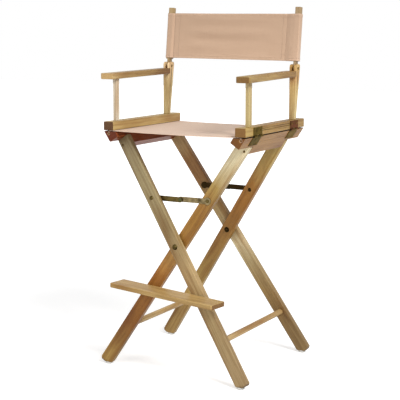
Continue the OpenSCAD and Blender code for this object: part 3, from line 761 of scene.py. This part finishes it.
def run_length(line):
    """How far along a line each of its points lies."""
    return np.concatenate([[0.0], np.cumsum(np.linalg.norm(np.diff(line, axis=0), axis=1))])


def along_line(values, reach, here):
    """What the values of a line's points are at places along it."""
    return np.stack([np.interp(here, reach, values[:, k]) for k in range(values.shape[1])], axis=-1)


THREAD_R = 0.00035
THREAD_SIDES = 6
STITCH = 0.0034
STITCH_GAP = 0.0009
NEAR = 0.0004


def sewing(name, lines):
    """Rows of single stitches, each a short round thread that dips in at both ends.
    A line is its points on the cloth's face and the way out of the face."""
    points, faces = [], []
    angles = np.arange(THREAD_SIDES) * math.tau / THREAD_SIDES
    shares = np.linspace(0.0, 1.0, 6)
    pitch = STITCH + STITCH_GAP
    for line, out in lines:
        line, out = np.asarray(line, float), np.asarray(out, float)
        reach = run_length(line)
        count = int(reach[-1] // pitch)
        margin = (reach[-1] - count * pitch + STITCH_GAP) / 2
        for k in range(count):
            base = len(points)
            for share in shares:
                here = k * pitch + margin + share * STITCH
                ahead = along_line(line, reach, min(here + NEAR, reach[-1]))
                way = ahead - along_line(line, reach, max(here - NEAR, 0.0))
                way /= np.linalg.norm(way)
                up = along_line(out, reach, here)
                up = up - way * (up @ way)
                up /= np.linalg.norm(up)
                side = np.cross(way, up)
                swell = math.sin(math.pi * (0.08 + 0.84 * share)) ** 0.4
                middle = along_line(line, reach, here) + up * THREAD_R * (swell * 1.5 - 1.05)
                for a in angles:
                    round_it = up * math.sin(a) * 0.8 + side * math.cos(a)
                    points.append(middle + round_it * THREAD_R * swell)
            rings = [[base + a * THREAD_SIDES + b for b in range(THREAD_SIDES)] for a in range(len(shares))]
            for low, high in zip(rings, rings[1:]):
                for b in range(THREAD_SIDES):
                    c = (b + 1) % THREAD_SIDES
                    faces.append((low[b], low[c], high[c], high[b]))
            faces += [rings[0][::-1], rings[-1]]
    piece = build(name, points, faces)
    piece.data.polygons.foreach_set("use_smooth", [True] * len(piece.data.polygons))
    piece.data.validate()
    return piece


TWIST = 900.0
thread = Finish("sewing_thread", IOR=1.45, Sheen_Weight=0.2, Specular_IOR_Level=0.3)
twist = thread.along(thread.spot(), (TWIST, TWIST, TWIST)).part()
twist = twist * (1.0 - twist) * 4.0
# the thread is darker than the canvas: painted shade for the small shadows round each stitch, over the
# thread's own colour
ply = thread.mix(twist, paint((0.36, 0.24, 0.16)), paint((0.56, 0.39, 0.28)))
thread_finish = thread.wear(ply, 0.7, thread.bumped(twist, 0.00008))

SEAT_Z = HINGE_Z
SPAN = 0.2103
CLOTH_L = 0.414
SEAT_SAG = 0.0014
# how much of its length from front to back the cloth keeps when it is drawn tight across
PINCH = 0.9965
SEAT_HEM = 0.018
SEAT_ROW_IN = 0.0030
# the left dowel's middle, the loop round it, and half the gap between the loop's two ends
GROOVE = (-0.2360, 0.7578)
LOOP_R = 0.00475
LAYER = 0.00085
TAIL_TOP = 0.7640
# the bend out of the slot onto the seat
OUT_R = 0.0015
# grid lines at the rounded edge, and half the width of the step where a hem ends
EDGE_LINES = (0.0, 0.0004, 0.0014)
SEAT_STEP = 0.0008
# the flat places are moved on, so that every yarn is counted from a number above 0
SEAT_ON, UP_ON = 0.5, 0.5
# a whole turn of a wave, to three places
WHOLE_TURN = 6.283
seat_rng = np.random.default_rng(12)


def waves(u, v, rng, count, long_u, short_v, height):
    """Low ridges that run with u, drawn from a few sines."""
    out = np.zeros(np.broadcast(u, v).shape)
    for _ in range(count):
        phase, drift = rng.uniform(0.0, WHOLE_TURN), rng.uniform(-1.0, 1.0)
        out = out + rng.uniform(0.4, 1.0) * np.sin(
            WHOLE_TURN * (v / (short_v * rng.uniform(0.6, 1.5)) + drift * u / long_u) + phase)
    return out * height / count ** 0.5


def doubled(from_edge, hem, step):
    """1 where a cloth is turned under in its hem, 0 further in, and a slope between."""
    return np.clip((hem + step - from_edge) / (2 * step), 0, 1)


def thickness(count, in_hem):
    """The cloth's thickness at each point of a grid with that many lines."""
    return np.broadcast_to(CLOTH_T + (HEM_T - CLOTH_T) * in_hem, (count, len(in_hem)))


def laid_flat(across, up, in_hem, on):
    """The flat place of each grid point, and how far it lies in a hem."""
    cut = np.zeros((len(across), len(up), 3))
    cut[..., 0] = across[:, None] + on
    cut[..., 1] = up[None, :] + UP_ON
    cut[..., 2] = in_hem[None, :]
    return cut


# the free span, as it is sewn and as it is let go
u = np.linspace(-SPAN, SPAN, 71)
v = np.linspace(-CLOTH_L / 2, CLOTH_L / 2, 70)
gu, gv = np.meshgrid(u, v, indexing="ij")
away = 1.0 - (gu / SPAN) ** 2
sewn = np.stack([gu, gv, np.zeros_like(gu)], axis=2)
start = np.stack([gu, gv * PINCH, SEAT_Z - SEAT_SAG * away
                  + waves(gu, gv, seat_rng, count=5, long_u=1.1, short_v=0.075, height=0.0011)
                  * away ** 0.6], axis=2)
sewn += np.array([0.0, mid_y, SEAT_Z])
start += np.array([0.0, mid_y, 0.0])
pinned = np.zeros(gu.shape, bool)
pinned[0] = pinned[-1] = True
span = hang("seat", sewn, start, pinned, frames=40)

# the loop round the left dowel and the way up through the slot, from its tail
path = [(GROOVE[0] - LAYER, TAIL_TOP), (GROOVE[0] - LAYER, TAIL_TOP - 0.0007)]
gap = math.asin(LAYER / LOOP_R)
for a in np.linspace(-gap, gap - math.tau, 26):
    path.append((GROOVE[0] + LOOP_R * math.sin(a), GROOVE[1] + LOOP_R * math.cos(a)))
path.append((GROOVE[0] + LAYER, TAIL_TOP + 0.0005))
for a in np.linspace(math.pi, math.pi / 2, 5):
    path.append((GROOVE[0] + LAYER + OUT_R + OUT_R * math.cos(a), SEAT_Z - OUT_R + OUT_R * math.sin(a)))
path += [(x, SEAT_Z) for x in (-0.2300, -0.2240, -0.2180, -0.2130)]
loop_xz = np.array(path)
loop_s = run_length(loop_xz)
# how much cloth lies past the free span on each side
tuck = loop_s[-1] - loop_xz[-1, 0] - SPAN

hem_lines = EDGE_LINES + (0.005, SEAT_HEM - SEAT_STEP, SEAT_HEM, SEAT_HEM + SEAT_STEP)
both_ends = [end * (CLOTH_L / 2 - line) for end in (1, -1) for line in hem_lines]
fine_v = np.unique(np.round(np.concatenate([v, both_ends]), 6))
span = finer(span, u, v, u, fine_v)
side = np.zeros((len(loop_xz), len(fine_v), 3))
side[..., 0] = loop_xz[:, :1]
side[..., 1] = mid_y + fine_v[None, :] * PINCH
side[..., 2] = loop_xz[:, 1:]
other = side[::-1].copy()
other[..., 0] *= -1
middle = np.concatenate([side, span, other])
across = np.concatenate([loop_s - tuck - SPAN, u, (tuck + SPAN - loop_s)[::-1]])
in_hem = doubled(CLOTH_L / 2 - np.abs(fine_v), SEAT_HEM, SEAT_STEP)
seat = woven("seat_canvas_cloth", middle, thickness(len(across), in_hem),
             laid_flat(across, fine_v, in_hem, SEAT_ON))
row_v = CLOTH_L / 2 - SEAT_HEM + SEAT_ROW_IN
seat.data.materials.append(canvas("seat_canvas", (0.780, 0.572, 0.436), (0.662, 0.472, 0.345),
                                  ((), (UP_ON - row_v, UP_ON + row_v))))

lines = []
for end in (-1, 1):
    row = np.array([along_line(strip, fine_v, end * row_v) for strip in span])
    row_n = np.cross(np.gradient(row, axis=0), np.array([0.0, 1.0, 0.0]))
    row_n /= np.linalg.norm(row_n, axis=1, keepdims=True)
    row_n *= np.sign(row_n[:, 2:])
    lines += [(row + row_n * HEM_T / 2, row_n), (row - row_n * HEM_T / 2, -row_n)]
seat_sewing = sewing("seat_hem_stitches", lines)
seat_sewing.data.materials.append(thread_finish)
for piece in (seat, seat_sewing):
    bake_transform(piece)
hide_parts("seat_cloth")


# ---- Back cloth ---------------------------------------------------------
# One band of the same canvas, whose colours are painted darker than the seat's as painted shade. Each end
# goes round its stick and is sewn flat to the band's back by two rows with tacks across, and the top and
# bottom edges are hemmed.

STICK = (0.237, mid_y + 0.170, 0.9593)
STICK_HALF = (0.0095, 0.0090)
BACK_LOW = 0.0237
BACK_HIGH = 0.1767
# how far the lower and the upper edge are raised at each seam
LEFT_SHIFT = (0.0040, 0.0010)
RIGHT_SHIFT = (0.0004, -0.0022)
LEFT_SEAM, LEFT_FLAP = -0.2215, -0.1990
RIGHT_SEAM, RIGHT_FLAP = 0.2025, 0.1845
BACK_HEM = 0.0095
BACK_STEP = 0.0006
BACK_ON = 1.5
ROW_IN = 0.0020
ROWS_X = (LEFT_SEAM + ROW_IN, LEFT_FLAP - ROW_IN, RIGHT_FLAP + ROW_IN, RIGHT_SEAM - ROW_IN)
ROWS_Z = (BACK_LOW + BACK_HEM - ROW_IN, BACK_HIGH - BACK_HEM + ROW_IN)
# how far the band and the flaps lie in front of the middle of the sticks
BAND_Y = -0.0055
FLAP_Y = -0.00415
# the waves come in over this much cloth from each flap
WAVES_IN = 0.10
# how far the top edge curls forward, how far down that reaches, and where it comes in
CURL, CURL_DEPTH = 0.0030, 0.005
CURL_FROM, CURL_TO = -0.05, 0.13


def stick_frame(points):
    """From the leaning frame of the back sticks, x across, y back and z up, to the chair's."""
    out = np.array(points, float)
    c, s = math.cos(STICK_LEAN), math.sin(STICK_LEAN)
    y, z = out[..., 1].copy(), out[..., 2].copy()
    out[..., 1] = STICK[1] + y * c + z * s
    out[..., 2] = STICK[2] - y * s + z * c
    return out


def sewn_height(x, v):
    """The cloth isn't cut quite square: how high a line of it lies at x."""
    share = np.clip((x - LEFT_SEAM) / (RIGHT_SEAM - LEFT_SEAM), 0.0, 1.0)
    low = LEFT_SHIFT[0] + (RIGHT_SHIFT[0] - LEFT_SHIFT[0]) * share
    high = LEFT_SHIFT[1] + (RIGHT_SHIFT[1] - LEFT_SHIFT[1]) * share
    up = (v - BACK_LOW) / (BACK_HIGH - BACK_LOW)
    return v + low + (high - low) * up


back_rng = np.random.default_rng(5)
u = np.linspace(LEFT_SEAM, RIGHT_SEAM, 86)
v = np.linspace(BACK_LOW, BACK_HIGH, 32)
gu, gv = np.meshgrid(u, v, indexing="ij")
free = np.clip(np.minimum(gu - LEFT_FLAP, RIGHT_FLAP - gu) / WAVES_IN, 0.0, 1.0)
free = free * free * (3.0 - 2.0 * free)
ripple = waves(gu, gv, back_rng, count=5, long_u=0.9, short_v=0.070, height=0.0026)
curled = np.clip((gu - CURL_FROM) / (CURL_TO - CURL_FROM), 0.0, 1.0)
curl = -CURL * np.exp(-(BACK_HIGH - gv) / CURL_DEPTH) * curled
tall = sewn_height(gu, gv)
sewn = np.stack([gu * 1.0003, np.zeros_like(gu), tall], axis=2)
start = np.stack([gu, BAND_Y + (ripple + curl) * free, tall], axis=2)
pinned = (gu < LEFT_FLAP + 0.0008) | (gu > RIGHT_FLAP - 0.0008)
band = hang("back", stick_frame(sewn), stick_frame(start), pinned, frames=24)

hem_lines = EDGE_LINES + (BACK_HEM - BACK_STEP, BACK_HEM, BACK_HEM + BACK_STEP)
both_edges = [BACK_LOW + line for line in hem_lines] + [BACK_HIGH - line for line in hem_lines]
fine_v = np.unique(np.round(np.concatenate([v, both_edges]), 6))
band = finer(band, u, v, u, fine_v)
in_hem = doubled(np.minimum(fine_v - BACK_LOW, BACK_HIGH - fine_v), BACK_HEM, BACK_STEP)
# darker than the seat's colours: painted shade on the same canvas
back_canvas = canvas("back_canvas", (0.622, 0.430, 0.300), (0.522, 0.351, 0.238),
                     ([BACK_ON + x for x in ROWS_X], [UP_ON + z for z in ROWS_Z]),
                     (UP_ON + BACK_LOW, UP_ON + BACK_HIGH))


def face_line(grid, at_u, at_v, way=1):
    """Points on a sheet's face at places in its grid, and the way out of the face."""
    m, n = grid.shape[:2]
    thick = thickness(m, in_hem)
    normal = np.cross(np.gradient(grid, axis=0), np.gradient(grid, axis=1))
    normal /= np.linalg.norm(normal, axis=2, keepdims=True)
    points, ways = [], []
    for a, b in zip(at_u, at_v):
        i, j = min(int(a), m - 2), min(int(b), n - 2)
        f, g = a - i, b - j
        shares = {(i, j): (1 - f) * (1 - g), (i + 1, j): f * (1 - g),
                  (i, j + 1): (1 - f) * g, (i + 1, j + 1): f * g}
        middle = sum(share * grid[spot] for spot, share in shares.items())
        out = sum(share * normal[spot] for spot, share in shares.items()) * way
        deep = sum(share * thick[spot] for spot, share in shares.items())
        points.append(middle + out / np.linalg.norm(out) * deep / 2)
        ways.append(out)
    return points, ways


def across_at(x):
    """Where x falls among the band's grid lines."""
    return np.interp(x, u, np.arange(len(u)))


def up_at(z):
    """Where a flat height falls among the grid lines."""
    return np.interp(z, fine_v, np.arange(len(fine_v)))


panel = woven("back_canvas_band", band, thickness(len(u), in_hem),
              laid_flat(u, fine_v, in_hem, BACK_ON), butted=("low_u", "high_u"))
panel.data.materials.append(back_canvas)

# the two rows beside each seam, and the tacks across from one to the other
TACK_GAP = 0.0012
THIRD_TACK = 0.0095
ups = np.linspace(BACK_LOW + 0.003, BACK_HIGH - 0.003, 40)
rows = []
for first, last, low_tack, high_tack in (ROWS_X[:2] + (0.0140, 0.0150), ROWS_X[2:] + (0.0200, 0.0080)):
    for x in (first, last):
        rows.append(face_line(band, [across_at(x)] * len(ups), up_at(ups)))
    across = across_at(np.linspace(first - 0.001, last + 0.001, 8))
    low, high = BACK_LOW + low_tack, BACK_HIGH - high_tack
    for z in (low, low + TACK_GAP, high, high - TACK_GAP, high - THIRD_TACK):
        rows.append(face_line(band, across, [up_at(z)] * len(across)))
for z in ROWS_Z:
    for way, first, last in ((1, LEFT_SEAM, RIGHT_SEAM), (-1, LEFT_FLAP, RIGHT_FLAP)):
        across = across_at(np.linspace(first + 0.001, last - 0.001, 90))
        rows.append(face_line(band, across, [up_at(z)] * len(across), way))
band_sewing = sewing("back_band_stitches", rows)
band_sewing.data.materials.append(thread_finish)
for piece in (panel, band_sewing):
    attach(piece, "left_stick")
    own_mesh(piece)
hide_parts("back_cloth")

# the middle of the sleeve's cloth off the stick's side and its face, and round its corners
OFF_SIDE, OFF_FACE = 0.0010, 0.0011
CORNER_R = 0.0029
SLEEVE_STEP = 0.003
for hand, flip, seam, flap in (("left", 1, LEFT_SEAM, LEFT_FLAP), ("right", -1, -RIGHT_SEAM, -RIGHT_FLAP)):
    # the way round a left stick, from the seam in front to the flap behind. flip
    # mirrors it for the right one
    outer, inner = -STICK[0] - STICK_HALF[0], -STICK[0] + STICK_HALF[0]
    front = -STICK_HALF[1] - OFF_FACE
    turns = [(seam, BAND_Y), ((seam + inner) / 2 - 0.0004, BAND_Y - 0.0030), (inner - 0.0016, front)]
    for side, first, last in ((-1, -90, -180), (1, 180, 90)):
        for a in np.radians(np.linspace(first, last, 5)):
            turns.append((outer - OFF_SIDE + CORNER_R + CORNER_R * math.cos(a),
                          side * (-front - CORNER_R) + CORNER_R * math.sin(a)))
    turns += [(inner - 0.0004, -front), (inner + 0.0010, -front - 0.0010),
              (inner + 0.0013, -front - 0.0026)]
    bend = max(seam - 0.0018, inner + 0.0016)
    turns += [(bend, FLAP_Y + 0.0022), (bend + 0.0009, FLAP_Y + 0.0006),
              (seam + 0.0014, FLAP_Y), (flap, FLAP_Y)]
    turns = np.array(turns)
    reach = run_length(turns)
    even = np.unique(np.round(np.concatenate([reach, np.arange(0.0, reach[-1], SLEEVE_STEP)]), 6))
    turns = along_line(turns, reach, even)
    grid = np.zeros((len(even), len(fine_v), 3))
    grid[..., 0] = flip * turns[:, :1]
    grid[..., 1] = turns[:, 1:]
    grid[..., 2] = sewn_height(grid[..., 0], fine_v[None, :])
    grid = stick_frame(grid)
    marks = laid_flat(flip * (seam - even), fine_v, in_hem, BACK_ON)
    # the flap behind is sewn to the band, and is gathered with it
    parting = int(np.argmin(np.abs(even - reach[-2])))
    for kind, run in (("sleeve", slice(None, parting + 1)), ("flap", slice(parting, None))):
        laid, marked, way_round = grid[run], marks[run], turns[run]
        if flip > 0:
            laid, marked, way_round = laid[::-1], marked[::-1], way_round[::-1]
        parted = "high_u" if flip > 0 else "low_u"
        butted = ("low_u", "high_u") if kind == "sleeve" else (parted,)
        cloth = woven(f"back_canvas_{hand}_{kind}", laid, thickness(len(laid), in_hem), marked,
                      butted=butted)
        cloth.data.materials.append(back_canvas)
        rows = []
        stops = np.arange(len(laid))
        for z in ROWS_Z:
            rows.append(face_line(laid, stops, [up_at(z)] * len(stops)))
        if kind == "flap":
            order = np.argsort(way_round[:, 0])
            for x in (seam + ROW_IN, flap - ROW_IN):
                place_u = np.interp(x, way_round[order, 0], order)
                rows.append(face_line(laid, [place_u] * len(ups), up_at(ups)))
        stitches = sewing(f"back_{hand}_{kind}_stitches", rows)
        stitches.data.materials.append(thread_finish)
        for piece in (cloth, stitches):
            if kind == "sleeve":
                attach(piece, hand + "_stick")
            else:
                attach(piece, "left_stick")
                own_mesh(piece)
        hand + "_back_stick" if kind == "sleeve" else panel
